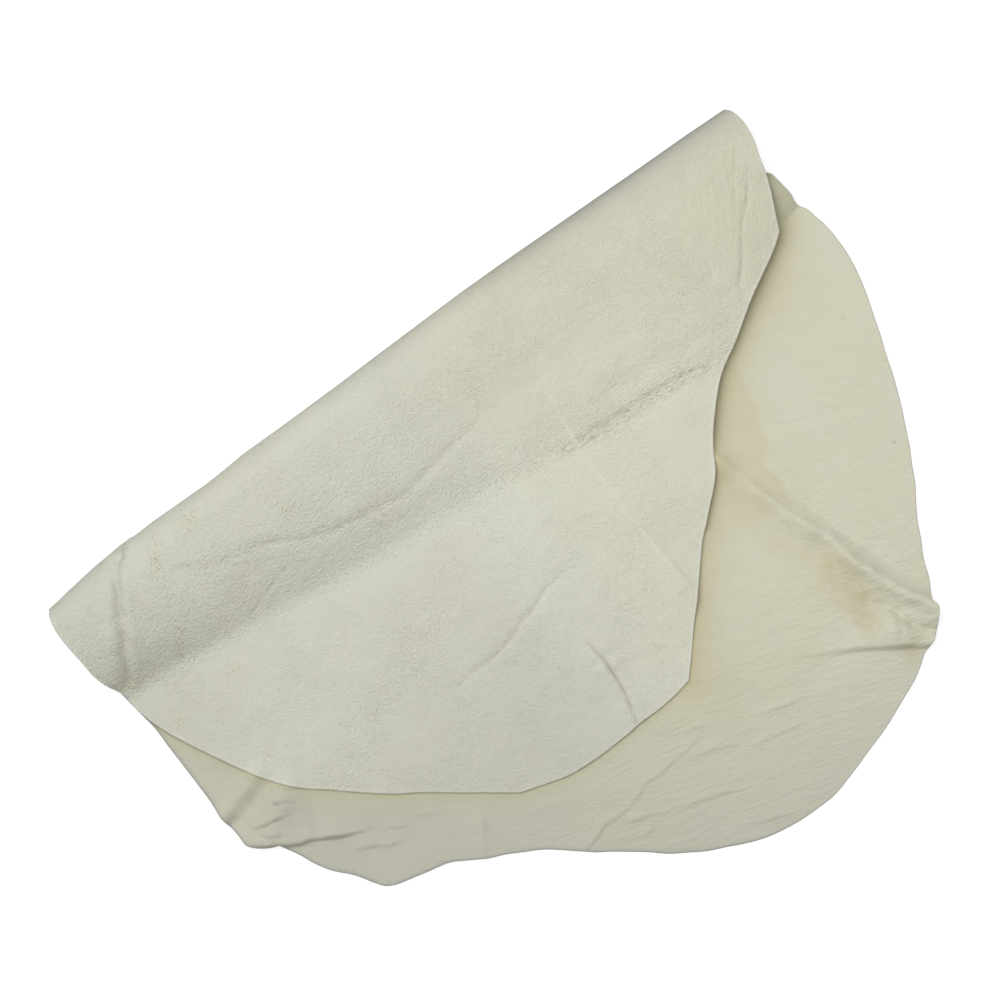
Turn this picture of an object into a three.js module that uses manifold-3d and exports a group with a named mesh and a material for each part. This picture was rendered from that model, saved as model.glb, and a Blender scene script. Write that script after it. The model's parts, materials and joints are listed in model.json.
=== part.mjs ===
// Chamois drying leather: one natural skin with an irregular cut edge, folded over once and laid flat.
// The skin is divided where it really bends. A soft roll of three strips at the fold joins the lower leaf
// to the flap, the flap has a long crease across it, and the lower leaf a crease near its free edge.
// Millimetres. +X runs along the fold, the leaves reach from the fold towards -Y, and z = 0 is the table.

import * as THREE from 'three';
import { mergeVertices } from 'three/addons/utils/BufferGeometryUtils.js';
import Module from 'manifold-3d';

const wasm = await Module();
wasm.setup();

// Driving dimensions of the skin
const FOLD_LENGTH = 506;
const FLAP_DEPTH = 264;
const LEAF_DEPTH = 365;
const LEATHER = 1;

// The soft roll at the fold
const ROLL_RADIUS = 13;
const ROLL_BOW = 6;
const ROLL_BOW_FLATNESS = 4;

// Creases, as depths from the fold at its left and right ends
const FLAP_CREASE_LEFT = 67;
const FLAP_CREASE_RIGHT = 128;
const MARGIN_CREASE_LEFT = 335;
const MARGIN_CREASE_RIGHT = 258;
const CREASE_GAP = 0.3;

// How high the flap's crease stands over the flap's resting height, and how far on from it the flap settles
const REST_GAP = 0.4;
const CREASE_RISE_LEFT = 2;
const CREASE_RISE_RIGHT = 12;
const SETTLE_LEFT = 45;
const SETTLE_RIGHT = 150;
const DOME_STEEPNESS = 2;

// Heights of the folds that stand up from the lower leaf or sink into the flap, and how far each reaches aside
const CROSS_FOLD_HEIGHT = 7;
const CROSS_FOLD_REACH = 18;
const BUCKLE_HEIGHT = 5;
const BUCKLE_REACH = 18;
const TIP_CURL_HEIGHT = 5;
const TIP_CURL_REACH = 15;
const END_RISE_HEIGHT = 6;
const END_RISE_REACH = 24;
const TIP_VALLEY_HEIGHT = -4;
const TIP_VALLEY_REACH = 14;

// The folds, each along a line between two places that are given as shares of the fold's length and of the
// leaf's own depth
const LEAF_FOLDS = [
  // Cross fold from under the flap towards the right tip
  { from: [0.72, 0.38], to: [0.79, 0.68], height: CROSS_FOLD_HEIGHT, reach: CROSS_FOLD_REACH },
  // Buckles at the lower left
  { from: [0.05, 0.46], to: [0.03, 0.47], height: BUCKLE_HEIGHT, reach: BUCKLE_REACH },
  { from: [0.09, 0.55], to: [0.13, 0.57], height: BUCKLE_HEIGHT, reach: BUCKLE_REACH },
  // Curl at the right tip
  { from: [0.8, 0.84], to: [0.86, 0.87], height: TIP_CURL_HEIGHT, reach: TIP_CURL_REACH },
  // Rise towards the roll at the right end
  { from: [0.96, 0.14], to: [1, 0.15], height: END_RISE_HEIGHT, reach: END_RISE_REACH },
];
const FLAP_FOLDS = [
  // Valley across the dome near the left tip
  { from: [0.085, 0.1], to: [0.045, 0.19], height: TIP_VALLEY_HEIGHT, reach: TIP_VALLEY_REACH },
];

// Cut edges, from the fold's right end round to its left end. Each run is a smooth curve between two corners,
// through points given as shares of the fold's length and the leaf's own depth.
const FLAP_EDGE = [
  [[1, 0.05], [0.995, 0.11], [0.98, 0.2], [0.958, 0.293]],
  [[0.91, 0.352], [0.86, 0.428], [0.81, 0.468], [0.763, 0.553], [0.737, 0.625], [0.698, 0.703],
    [0.632, 0.83], [0.56, 0.985]],
  [[0.449, 1], [0.372, 0.989], [0.32, 0.961]],
  [[0.211, 0.799], [0.126, 0.667], [0.067, 0.519], [0.032, 0.383], [0.021, 0.254]],
  [[0.004, 0.2], [0, 0.144], [0, 0.05]],
];
const LEAF_EDGE = [
  [[1, 0.03], [0.994, 0.08], [0.989, 0.121]],
  [[0.998, 0.203], [1.007, 0.26], [1, 0.362], [0.964, 0.507], [0.866, 0.781], [0.848, 0.858]],
  [[0.82, 0.896], [0.735, 0.951], [0.626, 0.995], [0.532, 0.995], [0.447, 0.94], [0.3, 0.786], [0.227, 0.729],
    [0.142, 0.693]],
  [[0.115, 0.649], [0.085, 0.6], [0.063, 0.54]],
  [[0.036, 0.515], [0.026, 0.496], [0.026, 0.438], [0.024, 0.321], [0.022, 0.192], [0.01, 0.11], [0.004, 0.03]],
];

// Fineness of the curves and of the sheet's facets
const EDGE_STEPS = 3;
const FACET = 17;
const ROLL_FACETS = 20;
const ROUND_FACETS = 5;

// How far the sheets reach past the outline before they are cut
const TRIM = 25;

const GRAIN_SIDE = 0xd3d2bf;
const FLESH_SIDE = 0xd1ccb4;
const CREASE_SHADE = 0xc4c1ac;
const NAP_ROUGHNESS = 0.9;

const mix = THREE.MathUtils.lerp;

function creaseDepth(left, right, x) {
  return mix(left, right, x / FOLD_LENGTH);
}

function flapCrease(x) {
  return creaseDepth(FLAP_CREASE_LEFT, FLAP_CREASE_RIGHT, x);
}

function marginCrease(x) {
  return creaseDepth(MARGIN_CREASE_LEFT, MARGIN_CREASE_RIGHT, x);
}

// Sum of the folds' heights at a place, each a rounded ridge that ends at its reach
function foldHeight(folds, leafDepth, x, depth) {
  const here = new THREE.Vector3(x, depth, 0);
  const place = ([along, deep]) => new THREE.Vector3(along * FOLD_LENGTH, deep * leafDepth, 0);
  let height = 0;
  for (const fold of folds) {
    const line = new THREE.Line3(place(fold.from), place(fold.to));
    const nearest = line.closestPointToPoint(here, true, new THREE.Vector3());
    const away = Math.min(here.distanceTo(nearest) / fold.reach, 1);
    height += fold.height * Math.cos(away * Math.PI / 2) ** 2;
  }
  return height;
}

// Height over the table of the middle of the lower leaf's thickness
function leafHeight(x, depth) {
  return LEATHER / 2 + foldHeight(LEAF_FOLDS, LEAF_DEPTH, x, depth);
}

// Height of the middle of the flap's thickness where it lies on a level part of the lower leaf
const LEVEL_REST = LEATHER / 2 + LEATHER + REST_GAP;

// Lowest height at which the flap can lie on the lower leaf
function restHeight(x, depth) {
  return leafHeight(x, depth) + LEATHER + REST_GAP;
}

function creaseHeight(x) {
  return LEVEL_REST + mix(CREASE_RISE_LEFT, CREASE_RISE_RIGHT, x / FOLD_LENGTH);
}

// The inner panel leaves the top of the roll level and falls ever more steeply to the crease
function innerHeight(x, depth) {
  const share = (depth - ROLL_RADIUS) / (flapCrease(x) - ROLL_RADIUS);
  const top = 2 * ROLL_RADIUS - LEATHER / 2;
  const dome = mix(top, creaseHeight(x), share ** DOME_STEEPNESS);
  return dome + foldHeight(FLAP_FOLDS, FLAP_DEPTH, x, depth);
}

// The outer panel leaves the crease and settles onto the lower leaf, over any fold of the leaf in its way
function outerHeight(x, depth) {
  const settle = mix(SETTLE_LEFT, SETTLE_RIGHT, x / FOLD_LENGTH);
  const settled = THREE.MathUtils.smoothstep(depth - flapCrease(x), 0, settle);
  return Math.max(restHeight(x, depth), mix(creaseHeight(x), LEVEL_REST, settled));
}

// A closed sheet between two grids of points, given by functions of a column and a row
function sheet(columns, rows, upper, lower) {
  const points = [];
  const triangles = [];
  const width = rows + 1;
  const layer = (columns + 1) * width;
  for (const side of [upper, lower]) {
    for (let column = 0; column <= columns; column += 1) {
      for (let row = 0; row <= rows; row += 1) {
        points.push(...side(column / columns, row / rows).toArray());
      }
    }
  }
  const quad = (a, b, c, d) => triangles.push(a, b, c, a, c, d);
  const wall = (a, b) => quad(a, a + layer, b + layer, b);
  for (let column = 0; column < columns; column += 1) {
    for (let row = 0; row < rows; row += 1) {
      const a = column * width + row;
      const b = a + width;
      quad(a, a + 1, b + 1, b);
      quad(a + layer, b + layer, b + 1 + layer, a + 1 + layer);
    }
    wall((column + 1) * width, column * width);
    wall(column * width + rows, (column + 1) * width + rows);
  }
  for (let row = 0; row < rows; row += 1) {
    wall(row, row + 1);
    wall(columns * width + row + 1, columns * width + row);
  }
  const geometry = new THREE.BufferGeometry();
  geometry.setAttribute('position', new THREE.Float32BufferAttribute(points, 3));
  geometry.setIndex(triangles);
  return geometry;
}

function toManifold(geometry) {
  const bare = geometry.clone();
  bare.deleteAttribute('normal');
  bare.deleteAttribute('uv');
  const merged = mergeVertices(bare);
  const vertProperties = new Float32Array(merged.attributes.position.array);
  const triVerts = new Uint32Array(merged.index.array);
  return new wasm.Manifold(new wasm.Mesh({ numProp: 3, vertProperties, triVerts }));
}

function toGeometry(manifold) {
  const { vertProperties, triVerts } = manifold.getMesh();
  const geometry = new THREE.BufferGeometry();
  geometry.setAttribute('position', new THREE.Float32BufferAttribute(vertProperties, 3));
  geometry.setIndex([...triVerts]);
  geometry.computeVertexNormals();
  return geometry;
}

// A prism over one leaf's cut outline, taller than anything that it cuts
function edgePrism(edge, leafDepth) {
  const height = 2 * (2 * ROLL_RADIUS + TRIM);
  const outline = new THREE.Shape();
  const place = ([along, deep]) => new THREE.Vector2(along * FOLD_LENGTH, -deep * leafDepth);
  outline.moveTo(FOLD_LENGTH, 0);
  for (const run of edge) {
    outline.splineThru(run.map(place));
  }
  outline.lineTo(0, 0);
  const settings = { depth: height, bevelEnabled: false, curveSegments: EDGE_STEPS };
  return toManifold(new THREE.ExtrudeGeometry(outline, settings).translate(0, 0, -height / 2));
}

// One zone of a leaf between two depths, at the height given, cut to the leaf's outline
function panel(prism, nearDepth, farDepth, height) {
  const left = -TRIM;
  const right = FOLD_LENGTH + TRIM;
  const span = Math.max(farDepth(left) - nearDepth(left), farDepth(right) - nearDepth(right));
  const columns = Math.ceil((right - left) / FACET);
  const rows = Math.ceil(span / FACET);
  const at = (offset) => (along, deep) => {
    const x = mix(left, right, along);
    const depth = mix(nearDepth(x), farDepth(x), deep);
    return new THREE.Vector3(x, -depth, height(x, depth) + offset);
  };
  const blank = toManifold(sheet(columns, rows, at(LEATHER / 2), at(-LEATHER / 2)));
  return toGeometry(blank.intersect(prism));
}

// One strip of the roll, between two angles measured from the bottom of the roll
function rollStrip(first, last, bow) {
  const spare = CREASE_GAP / 2 / (ROLL_RADIUS - LEATHER);
  const at = (radius) => (along, turn) => {
    const angle = mix(first + spare, last - spare, turn);
    const swell = (1 - (2 * along - 1) ** ROLL_BOW_FLATNESS) * Math.sin(turn * Math.PI) ** 2;
    const y = radius * Math.sin(angle) + bow * swell - ROLL_RADIUS;
    return new THREE.Vector3(along * FOLD_LENGTH, y, ROLL_RADIUS - radius * Math.cos(angle));
  };
  const geometry = sheet(ROLL_FACETS, ROUND_FACETS, at(ROLL_RADIUS), at(ROLL_RADIUS - LEATHER));
  geometry.computeVertexNormals();
  return geometry;
}

function piece(name, geometry, color) {
  const mesh = new THREE.Mesh(geometry, new THREE.MeshStandardMaterial({
    color,
    roughness: NAP_ROUGHNESS,
    metalness: 0,
  }));
  mesh.name = name;
  return mesh;
}

const skin = new THREE.Group();
const leafPrism = edgePrism(LEAF_EDGE, LEAF_DEPTH);
const flapPrism = edgePrism(FLAP_EDGE, FLAP_DEPTH);
const afterRoll = () => ROLL_RADIUS + CREASE_GAP / 2;
const beforeMargin = (x) => marginCrease(x) - CREASE_GAP / 2;
const afterMargin = (x) => marginCrease(x) + CREASE_GAP / 2;
const beforeCrease = (x) => flapCrease(x) - CREASE_GAP / 2;
const afterCrease = (x) => flapCrease(x) + CREASE_GAP / 2;
const leafEnd = () => LEAF_DEPTH + TRIM;
const flapEnd = () => FLAP_DEPTH + TRIM;

// Lower leaf and its margin
skin.add(piece('lower_leaf', panel(leafPrism, afterRoll, beforeMargin, leafHeight), FLESH_SIDE));
skin.add(piece('lower_margin', panel(leafPrism, afterMargin, leafEnd, leafHeight), FLESH_SIDE));

// Roll at the fold, from the lower leaf up and over to the flap
const rollStrips = [
  { name: 'fold_lower_strip', bow: 0 },
  { name: 'fold_middle_strip', bow: ROLL_BOW },
  { name: 'fold_upper_strip', bow: 0 },
];
const stripArc = Math.PI / rollStrips.length;
rollStrips.forEach(({ name, bow }, index) => {
  skin.add(piece(name, rollStrip(index * stripArc, (index + 1) * stripArc, bow), CREASE_SHADE));
});

// Flap
skin.add(piece('flap_inner_panel', panel(flapPrism, afterRoll, beforeCrease, innerHeight), GRAIN_SIDE));
skin.add(piece('flap_outer_panel', panel(flapPrism, afterCrease, flapEnd, outerHeight), GRAIN_SIDE));

// The part's origin is under the middle of its box, on the table
const box = new THREE.Box3().setFromObject(skin);
const middle = box.getCenter(new THREE.Vector3());
skin.position.set(-middle.x, -middle.y, -box.min.z);

const chamois = new THREE.Group();
chamois.name = 'chamois_leather';
chamois.add(skin);

export default chamois;
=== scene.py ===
"""Looks of a natural chamois drying leather, folded over once and laid flat on a table.

The skin is laid out flat first, in millimetres: along the fold, and out from the middle of the fold's roll,
positive towards the flap and negative towards the lower leaf. It is divided into triangles there, and each
place is then lifted to where it lies on the folded skin.
"""
import json
import math
from collections import Counter

import bpy
import numpy as np
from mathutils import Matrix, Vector
from mathutils.geometry import delaunay_2d_cdt
from mathutils.kdtree import KDTree


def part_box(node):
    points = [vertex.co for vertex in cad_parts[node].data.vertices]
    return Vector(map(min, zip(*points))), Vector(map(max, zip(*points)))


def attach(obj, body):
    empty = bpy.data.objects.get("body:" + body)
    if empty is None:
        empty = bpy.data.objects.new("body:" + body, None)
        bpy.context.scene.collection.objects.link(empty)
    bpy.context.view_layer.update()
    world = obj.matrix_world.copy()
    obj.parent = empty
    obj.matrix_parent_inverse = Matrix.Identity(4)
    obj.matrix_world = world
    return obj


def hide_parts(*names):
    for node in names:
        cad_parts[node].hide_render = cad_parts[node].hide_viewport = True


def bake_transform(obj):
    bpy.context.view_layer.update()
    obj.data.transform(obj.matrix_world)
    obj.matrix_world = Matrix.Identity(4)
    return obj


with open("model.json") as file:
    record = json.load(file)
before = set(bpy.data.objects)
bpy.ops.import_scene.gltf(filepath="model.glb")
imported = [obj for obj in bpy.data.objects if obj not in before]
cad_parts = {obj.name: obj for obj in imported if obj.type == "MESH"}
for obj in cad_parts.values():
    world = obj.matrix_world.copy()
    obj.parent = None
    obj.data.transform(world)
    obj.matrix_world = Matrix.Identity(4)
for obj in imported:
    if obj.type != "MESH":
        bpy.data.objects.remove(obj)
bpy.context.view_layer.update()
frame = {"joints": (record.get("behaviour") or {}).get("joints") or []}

scene = bpy.context.scene
MM = 0.001

# Sizes that the frame settles: the fold's hinge in metres, and in millimetres the roll's radius, the fold's
# left end and length, half of the skin's way round the roll, and the place from which depths are measured
joints = {joint["name"]: joint for joint in frame["joints"]}
FOLD_HINGE = joints["fold_open"]["pos_m"]
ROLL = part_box("fold_upper_strip")[1].z / MM / 2
LEFT_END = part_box("fold_upper_strip")[0].x / MM
HALF_ROLL = math.pi * ROLL / 2
FOLD_FRONT = FOLD_HINGE[1] / MM + ROLL
# Thickness of the leather, and the gap at which the flap rests on the leaf
LEATHER = 1.0
REST_GAP = 0.4

# Outline of the skin as it lies folded, as places along the fold and depths from it
FLAP_EDGE = [
    [(502, 0.5), (504.3, 3.4), (506, 12.1), (505.6, 20.3), (503.9, 27.8), (501, 36.7), (498.8, 45.5),
     (494.2, 57.3), (490.4, 65.5), (484.9, 77.4)],
    [(484.9, 77.4), (479.5, 81.6), (471.4, 86.6), (448, 99.5), (426.2, 113.8), (407, 125), (387.4, 144.2),
     (379.9, 153.4), (374.4, 161.8), (370.5, 168.6), (362.8, 176.9), (355.5, 183.3), (346.5, 191.5),
     (340.5, 196.6), (314.7, 225.5), (305.5, 234.9), (295.7, 246.2), (283.7, 259.4)],
    [(283.7, 259.4), (270.1, 261.9), (259.1, 262.7), (245.1, 262.6), (238, 263.3), (215.2, 264.1),
     (194.2, 262.6), (188, 261), (164, 253.5)],
    [(164, 253.5), (150, 243), (134, 231.2), (116.4, 218), (104, 209.9), (87.8, 196.8), (74.4, 185),
     (60.7, 173.5), (47.2, 156.8), (31, 128.5), (16.5, 98.6), (11.2, 80.7), (9.9, 68.6)],
    [(9.9, 68.6), (9.2, 65.7), (5.3, 57.5), (2.8, 48.1), (2.2, 37.2), (1.2, 25.9), (0.9, 14.2), (2.8, 3.6),
     (4.5, 0.6)],
]
LEAF_EDGE = [
    [(4.5, 0.6), (3.5, 6), (3.5, 14), (6, 40), (9, 66), (10.8, 80), (12.8, 95), (12.8, 107.5),
     (13.1, 121.6), (13.3, 135.5), (13.4, 149.5), (12.6, 160.7), (14.5, 171), (14.8, 178.6), (15, 182.4),
     (18.4, 186.8), (25, 191.5), (30.5, 194)],
    [(30.5, 194), (37.1, 205.4), (41, 214.5), (47.3, 224.7), (56, 234.4), (63, 245.3), (66.7, 250.2),
     (70.8, 252.8), (76, 254.6), (83, 256.2), (90.7, 258.2), (99.7, 260.2), (106, 262), (115.8, 267.6),
     (125.6, 273.5), (135.7, 278), (145, 283.2), (154.1, 288.2), (162.4, 294.4), (170.5, 301.3),
     (178.9, 308.5)],
    [(178.9, 308.5), (187.3, 314.2), (195.8, 320.6), (204.5, 327.3), (213.3, 335), (222.9, 341.2),
     (232.8, 347.4), (243.2, 352.2), (254.1, 357.4), (265.4, 361.7), (277.1, 364.2), (289, 365.7),
     (301, 366), (312.9, 365.6), (324.6, 362.7), (336.1, 359.4), (347.5, 355.8), (359, 352.4),
     (370.3, 348), (381.5, 343.3), (391.5, 339.1), (399.7, 334.2), (406.1, 329.7), (410.1, 328.6)],
    [(410.1, 328.6), (415.1, 326.7), (421.3, 321.3), (425, 317.6), (428, 314), (429.3, 311.6)],
    [(429.3, 311.6), (428.5, 306.6), (430.9, 301.8), (434.4, 295.8), (438.6, 284.5), (444.3, 274.2),
     (449.2, 264), (455.2, 254.5), (461.4, 245.1), (466.4, 235.3), (471.8, 225.5), (476.4, 215.5),
     (481.1, 205.4), (485.4, 195.1), (489.4, 184.5), (492.8, 173.6), (496.8, 162.8), (500.4, 151.5),
     (504.2, 140), (507.3, 128.2), (509.5, 116), (510.2, 103.6), (509.5, 91), (508, 84)],
    [(508, 84), (507.1, 79.5), (506.4, 76.6), (504.2, 73.3), (503.2, 69.6), (503.9, 64), (503, 55.7),
     (501.7, 47.7)],
    [(501.7, 47.7), (498.2, 43), (497.5, 34), (499, 20), (501.2, 8), (502, 0.5)],
]

# Form of the flap, in tables of a place along the fold and a value there: the depth of the long crease, how
# high it stands over the height at which the flap would rest, the depth over which the outer panel comes down
# from it, and a slight rise of that panel just beyond it
CREASE = [
    (0, 65.5), (10, 66.8), (45, 70.5), (83, 76), (117, 80.1), (152, 87), (190, 90), (232, 94.4),
    (263, 97.8), (314, 105.5), (348, 107.8), (371, 109.6), (386, 110.8), (415, 116), (445, 122), (506, 131)]
CREASE_RISE = [
    (0, 1.2), (15, 1.5), (100, 3), (180, 4.2), (260, 5.5), (320, 6), (380, 5.5), (413, 4.5), (506, 3)]
SETTLE = [(0, 45), (60, 75), (140, 110), (220, 150), (300, 170), (506, 180)]
SWELL = [(0, 0), (40, 0.8), (120, 1.8), (220, 2.2), (300, 1.4), (400, 0.8), (506, 0.5)]
SWELL_START = 14
SWELL_REACH = 70
CREASE_ROUND = 2.2
# Power of the rounded slope from the crease up to the roll
DOME_STEEPNESS = [(0, 2.9), (50, 2.6), (100, 2.2), (180, 1.9), (260, 1.6), (506, 1.5)]
# How far the roll swells out from the straight fold, and the share of its full height that it has
ROLL_BOW = [
    (0, -0.5), (13, 0.6), (19, 1.6), (40, 3.8), (62, 5.3), (72, 4.7), (85, 5), (105, 4.5), (123, 4),
    (138, 4.5), (151, 5.4), (180, 4.9), (225, 4.9), (250, 5.2), (311, 5.6), (345, 5), (384, 3.7),
    (409, 2.9), (438, 2), (475, 1.1), (506, -0.3)]
ROLL_PLUMP = [(0, 1), (150, 1), (260, 0.88), (340, 0.8), (420, 0.73), (506, 0.68)]

# Lines of folds and creases that are used more than once
CROSS_FOLD = [
    (362, 138), (370, 150), (375.7, 161.9), (380.9, 179.8), (387.3, 204.2), (395.5, 226.2), (401.1, 240.1),
    (404.2, 255.8), (409.6, 273.3), (416.2, 289.2), (424, 303.6), (431, 315)]
TIP_VALLEY = [
    (66, -10), (58.3, -1.9), (52, 3), (48.1, 9.6), (40.1, 23.3), (31.5, 38), (22.2, 53.7), (12.8, 66.4)]
BRANCHED = [
    (287.5, 34.7), (283.7, 48.9), (277.6, 57), (269.5, 62.1), (252.3, 63.4), (232.1, 67.6), (216.3, 70),
    (199.3, 67), (181.6, 65), (164.5, 61.2), (148.7, 54.6), (131, 44.5), (103.8, 38.4), (81.4, 24.8)]
OLD_FOLD_UPPER = [(327.2, 2.1), (322.6, 34.2), (318.1, 66.3), (316.3, 85.6), (314.2, 105.5)]
OLD_FOLD_LOWER = [(314.2, 105.5), (313.3, 133.6), (314.3, 166.1), (315.5, 188.5), (318.2, 222)]
SOFT_FOLD = [
    (275.1, 162.2), (253, 165.1), (232.3, 171.2), (200.9, 179.7), (185.6, 179.4), (172.2, 180.6),
    (150.4, 174.1)]
CORNER_CREASE = [
    (247.5, 197), (249.4, 208.9), (250.6, 221), (250.1, 232.4), (249.5, 240), (248.4, 247.1), (246.7, 253),
    (244.4, 263)]
RIGHT_ARM = [
    (306, 104.2), (314, 105.5), (348, 107.8), (371, 109.6), (386, 110.8), (398.6, 114.2), (408.6, 118.4),
    (414, 121.5)]
SLOPE_LINE = [(91.8, 74.6), (109.4, 69.8), (132.1, 63.1), (143.4, 61.8)]
END_CREASE = [
    (501.6, 24.8), (492.7, 35.9), (476.8, 54.4), (471.1, 59.1), (453.7, 81.7), (446.7, 89.1),
    (445.4, 94.8), (436.3, 105)]
END_LINE = [(496.9, 16.2), (462.7, 62.5)]


# Folds and creases: the line that each follows, its section as rows of kind, offset from the line, height and
# width, and the shares of its length over which it fades in and out
def wrinkle(points, height, width, fades=(0.4, 0.4)):
    return points, [("step", 0, height, width)], fades


def thin_line(points, height, width=1.2, fades=(0.3, 0.3)):
    return points, [("sharp", 0, height, width)], fades


LEAF_FOLDS = [
    # Cross fold from under the flap to the right tip, and the creased hollow at its foot
    (CROSS_FOLD, [("round", 0, 2.6, 8), ("bank", -1, 2.0, 17), ("sharp", 0, 0.3, 2.5)], (0.12, 0)),
    (CROSS_FOLD[4:], [("round", 0, 2.6, 5)], (0.5, 0)),
    thin_line([(397, 180), (399.3, 192.1), (401.5, 213.1), (406.5, 236.3), (414, 258), (424, 280),
               (433, 300)],
              -0.6, 1.6, (0.5, 0)),
    # Curled right tip and its two pleats
    ([(365, 290), (392, 303), (425, 319)], [("round", 0, 3.6, 10)], (0.6, 0)),
    ([(388, 277), (399.1, 287.6), (405.8, 297), (409.1, 307.2), (414, 317), (424, 327)],
     [("sharp", 0, -3.2, 2.4), ("round", 5, 0.8, 4)], (0.5, 0)),
    ([(422, 336), (410.7, 328.1), (391.1, 314.8), (374.4, 304.3), (357.2, 294.5), (343.3, 286.7), (328, 280)],
     [("lip", 0, 3.6, 8)], (0, 0.7)),
    # Crease near the free edge
    wrinkle([(295.8, 283.9), (259.3, 292.3), (227.9, 294.9), (206.2, 300.3), (194.7, 299.9), (170, 306)],
            1.0, 8, (0.5, 0)),
    # Buckles at the lower left: a ridge and a lip, with wrinkles between and beside them
    ([(70, 172), (50, 172), (34, 177), (20, 184)], [("round", 0, 3, 15)], (0.4, 0)),
    ([(56, 149.5), (46, 152), (28.6, 157), (12, 161), (4, 163)],
     [("round", 1, 2.8, 5), ("round", -9, -1.2, 4)], (0.3, 0)),
    wrinkle([(86, 221), (70.3, 214.7), (49.8, 204.6), (34.6, 196.3), (26, 191)], 3.6, 14, (0.45, 0)),
    wrinkle([(96, 238), (83.2, 232.7), (75.4, 227.6), (65.7, 223.5), (58, 220)], 1.3, 6),
    wrinkle([(102, 232), (92, 226), (80, 221)], 0.9, 5),
    wrinkle([(43.8, 184), (45, 176), (42.5, 167)], 1.8, 5),
    wrinkle([(46, 183), (34, 179.5), (22, 177)], 1.8, 6, (0.3, 0.2)),
    wrinkle([(56, 181), (48, 174), (36, 170)], 1.4, 4),
    wrinkle([(38, 190), (30, 187), (24, 181)], 1.4, 4),
    wrinkle([(62, 176), (54, 170), (46, 162)], 1.2, 4),
    wrinkle([(122, 240), (112, 231), (100, 226)], 0.7, 6),
    # Slope up to the roll at the right end
    ([(518, 71), (505, 72.6), (497.2, 74.7), (490.5, 75.7), (478.2, 78.4), (455.7, 83.9)],
     [("slope", 0, 15, 24), ("sharp", -0.5, -1.2, 2)], (0, 0.5)),
    # Thin crease at the bottom edge
    ([(139.2, 244.1), (133.6, 257.7), (122, 278)], [("sharp", 0, 0.6, 1.6), ("round", 3, 0.5, 5)], (0.3, 0)),
    # Fine wrinkles towards the free edge
    wrinkle([(279, 288.6), (268, 285.6), (256, 281)], 0.8, 4),
    wrinkle([(294, 310.4), (275, 303), (254, 297)], 0.8, 5),
    wrinkle([(275, 332), (263, 327.4), (243, 320), (228, 313)], 1.2, 5, (0.3, 0.3)),
    wrinkle([(232, 318.4), (216, 311), (199, 303.6)], 1.1, 4, (0.3, 0.3)),
    wrinkle([(219, 319.4), (202, 317)], 1.0, 3),
    wrinkle([(298.1, 364.6), (284.2, 359.5), (253.3, 345.5)], 0.9, 4),
    wrinkle([(330, 322), (300, 316), (276, 309)], 0.8, 5),
    wrinkle([(345, 311), (322, 306), (303, 300)], 0.8, 5),
]
FLAP_FOLDS = [
    # Valley across the dome near the left tip, between two swells
    (TIP_VALLEY, [("round", 0, -2.6, 3), ("round", -5, 0.9, 4)], (0.05, 0.05)),
    # Branched crease across the dome
    (BRANCHED, [("round", 0, -0.6, 3), ("round", -6, 0.45, 6), ("round", 7, 0.3, 9)], (0.25, 0.35)),
    ([(187.9, 61.5), (192, 71.9), (196.5, 81.9)],
     [("round", 0, 0.5, 2), ("round", 3, -0.4, 2.5)], (0.3, 0.3)),
    # Old fold square to the main one, a valley above the long crease and a ridge below it
    (OLD_FOLD_UPPER, [("sharp", 0, -0.4, 2), ("round", 1, -0.8, 9)], (0.4, 0.1)),
    (OLD_FOLD_LOWER, [("sharp", 0, 0.35, 1.4), ("round", 0, 0.8, 9)], (0.5, 0)),
    # Soft fold of the outer panel
    (SOFT_FOLD, [("round", 0, -0.5, 2.2), ("round", -6, 0.2, 6), ("sharp", 0, -0.3, 1.2)], (0.3, 0.3)),
    # Crease by the lower right corner
    (CORNER_CREASE, [("round", 0, 2.2, 9), ("sharp", 0, -2.4, 1.1)], (0.5, 0)),
    # Flap's edge sinking beyond the old fold
    ([(318.2, 222), (315.5, 188.5), (314.3, 166.1), (313.5, 140)], [("slope", 0, -1.2, 10)], (0, 0.5)),
    (OLD_FOLD_LOWER[2:], [("bank", 0, 1.6, 9)], (0.7, 0)),
    # Second valley over the right arm of the long crease
    ([(335, 93.5), (358.9, 95), (382, 97), (405.8, 99.5), (428, 105.6)], [("round", 0, -0.7, 6)], (0.3, 0)),
    # Sharp line of the long crease's right arm
    thin_line(RIGHT_ARM, -0.6, 1.8, (0.1, 0.2)),
    # Thin lines on the slope above the long crease
    thin_line(SLOPE_LINE, -0.4, 1.2, (0.2, 0.2)),
    thin_line([(97, 70), (113, 65.5), (131, 60)], -0.3),
    # Swell to the left of the valley at the tip
    (TIP_VALLEY[1:2] + TIP_VALLEY[3:], [("round", 8, 2, 8)], (0.6, 0.05)),
    # Drooping right end
    ([(515, 40), (503, 70), (482, 96), (452, 106)], [("round", 0, -3.6, 24)], (0.3, 0.3)),
    # Long thin crease and its neighbours at the right end
    thin_line(END_CREASE, -0.5, 1.2, (0.2, 0.2)),
    thin_line(END_LINE, -0.35),
    thin_line([(484.7, 27.8), (475.5, 40.2)], -0.35),
    thin_line([(442.7, 62.5), (439, 71.5), (434.1, 81.2)], -0.4, 1.3),
]
# Rounding of a sharp section's tip, the run over which each stepped kind rises, and how many of its widths a
# section reaches out, for the soft kinds and for the others
SHARP_TIP = 0.6
STEP_RUN = {"step": 2.0, "lip": 4.0, "bank": 7.0}
SOFT_REACH = 2.6
STEEP_REACH = 5
# How far and how often a fold's line wavers, and its height varies along it
WAVER, WAVER_CELL = 0.7, 8
UNEVEN, UNEVEN_CELLS = 0.3, 12
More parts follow.
